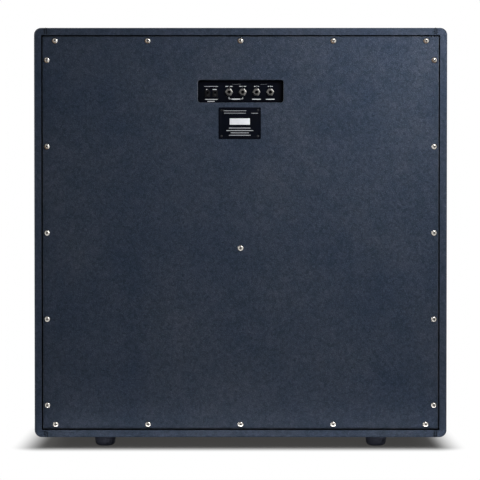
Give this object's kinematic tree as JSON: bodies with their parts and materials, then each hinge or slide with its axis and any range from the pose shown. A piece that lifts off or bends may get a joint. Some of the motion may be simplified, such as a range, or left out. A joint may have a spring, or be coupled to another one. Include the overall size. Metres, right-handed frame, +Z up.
{
  "type": "guitar speaker cabinet",
  "caption": "Closed guitar speaker cabinet in black grained vinyl: screwed back panel with a recessed row of jacks and slide switches, cloth grille, side handles and rubber feet.",
  "frame": {"origin": "on the floor, under the middle of the box", "axes": "+X to the right seen from the grille, +Y out of the back panel, +Z up"},
  "size_m": [0.76, 0.36, 0.774],
  "materials": {
    "birch_ply": "bare plywood",
    "painted_ply": "matt black paint",
    "batten_wood": "sawn softwood",
    "vinyl": "grained covering vinyl",
    "grille_cloth": "woven grille cloth",
    "piping": "satin",
    "nickel": "nickel plate",
    "zinc_steel": "zinc plate",
    "black_steel": "satin black",
    "label_paper": "matt white",
    "black_plastic": "moulded",
    "switch_lever": "moulded",
    "foot_rubber": "matt",
    "contact_brass": "bright",
    "cable_sheath": "matt",
    "ferrite": "matt",
    "gasket_card": "matt",
    "basket_paint": "crackle black",
    "treated_cloth": "doped cloth",
    "cone_paper": "ribbed paper",
    "coil_copper": "enamelled wire"
  },
  "bodies": {
    "cabinet": {"back_panel": "birch_ply", "back_panel_screws": "nickel", "back_panel_vinyl": "vinyl", "baffle_board": "painted_ply", "baffle_screws": "zinc_steel", "blank_label": "label_paper", "bottom_panel": "birch_ply", "centre_post": "batten_wood", "feet": "foot_rubber", "foot_screws": "zinc_steel", "front_cleats": "batten_wood", "grille_cloth": "grille_cloth", "grille_frame": "painted_ply", "grille_piping": "piping", "handle_screws": "black_steel", "jack_nuts": "nickel", "jack_plate": "black_steel", "jack_plate_screws": "zinc_steel", "jack_sockets": "black_plastic", "jack_washers": "nickel", "left_handle": "black_plastic", "left_side_panel": "birch_ply", "rating_plate": "black_steel", "rating_plate_rivets": "black_steel", "rear_cleats": "batten_wood", "right_handle": "black_plastic", "right_side_panel": "birch_ply", "slide_switch_housings": "black_plastic", "speaker_1_basket": "basket_paint", "speaker_1_suspension": "treated_cloth", "speaker_2_basket": "basket_paint", "speaker_2_suspension": "treated_cloth", "speaker_3_basket": "basket_paint", "speaker_3_suspension": "treated_cloth", "speaker_4_basket": "basket_paint", "speaker_4_suspension": "treated_cloth", "speaker_bolts": "zinc_steel", "speaker_cables": "cable_sheath", "speaker_front_plates": "zinc_steel", "speaker_gaskets": "gasket_card", "speaker_magnets": "ferrite", "speaker_pole_plates": "zinc_steel", "speaker_terminals": "black_plastic", "tee_nuts": "zinc_steel", "top_panel": "birch_ply", "vinyl_wrap": "vinyl"},
    "speaker_1_cone": {"speaker_1_cone": "cone_paper", "speaker_1_voice_coil": "coil_copper"},
    "speaker_2_cone": {"speaker_2_cone": "cone_paper", "speaker_2_voice_coil": "coil_copper"},
    "speaker_3_cone": {"speaker_3_cone": "cone_paper", "speaker_3_voice_coil": "coil_copper"},
    "speaker_4_cone": {"speaker_4_cone": "cone_paper", "speaker_4_voice_coil": "coil_copper"},
    "slide_switch_lever_1": {"slide_switch_lever_1": "switch_lever"},
    "slide_switch_lever_2": {"slide_switch_lever_2": "switch_lever"},
    "jack_contact_1": {"jack_contact_1": "contact_brass"},
    "jack_contact_2": {"jack_contact_2": "contact_brass"},
    "jack_contact_3": {"jack_contact_3": "contact_brass"},
    "jack_contact_4": {"jack_contact_4": "contact_brass"}
  },
  "joints": [
    {"name": "speaker_1_cone_travel", "type": "slide", "parent": "cabinet", "child": "speaker_1_cone", "axis": [0, 1, 0], "range_m": [-0.004, 0.004], "stiffness_N_per_m": 8000, "deforming": ["speaker_1_suspension"]},
    {"name": "speaker_2_cone_travel", "type": "slide", "parent": "cabinet", "child": "speaker_2_cone", "axis": [0, 1, 0], "range_m": [-0.004, 0.004], "stiffness_N_per_m": 8000, "deforming": ["speaker_2_suspension"]},
    {"name": "speaker_3_cone_travel", "type": "slide", "parent": "cabinet", "child": "speaker_3_cone", "axis": [0, 1, 0], "range_m": [-0.004, 0.004], "stiffness_N_per_m": 8000, "deforming": ["speaker_3_suspension"]},
    {"name": "speaker_4_cone_travel", "type": "slide", "parent": "cabinet", "child": "speaker_4_cone", "axis": [0, 1, 0], "range_m": [-0.004, 0.004], "stiffness_N_per_m": 8000, "deforming": ["speaker_4_suspension"]},
    {"name": "slide_switch_1_travel", "type": "slide", "parent": "cabinet", "child": "slide_switch_lever_1", "axis": [0, 0, 1], "range_m": [0, 0.004]},
    {"name": "slide_switch_2_travel", "type": "slide", "parent": "cabinet", "child": "slide_switch_lever_2", "axis": [0, 0, 1], "range_m": [0, 0.004]},
    {"name": "jack_contact_1_lift", "type": "hinge", "parent": "cabinet", "child": "jack_contact_1", "pos_m": [0.0214, 0.1371, 0.6619], "axis": [1, 0, 0], "range_deg": [0, 6], "stiffness_Nm_per_rad": 0.05},
    {"name": "jack_contact_2_lift", "type": "hinge", "parent": "cabinet", "child": "jack_contact_2", "pos_m": [-0.004, 0.1371, 0.6619], "axis": [1, 0, 0], "range_deg": [0, 6], "stiffness_Nm_per_rad": 0.05},
    {"name": "jack_contact_3_lift", "type": "hinge", "parent": "cabinet", "child": "jack_contact_3", "pos_m": [-0.0294, 0.1371, 0.6619], "axis": [1, 0, 0], "range_deg": [0, 6], "stiffness_Nm_per_rad": 0.05},
    {"name": "jack_contact_4_lift", "type": "hinge", "parent": "cabinet", "child": "jack_contact_4", "pos_m": [-0.0548, 0.1371, 0.6619], "axis": [1, 0, 0], "range_deg": [0, 6], "stiffness_Nm_per_rad": 0.05}
  ]
}
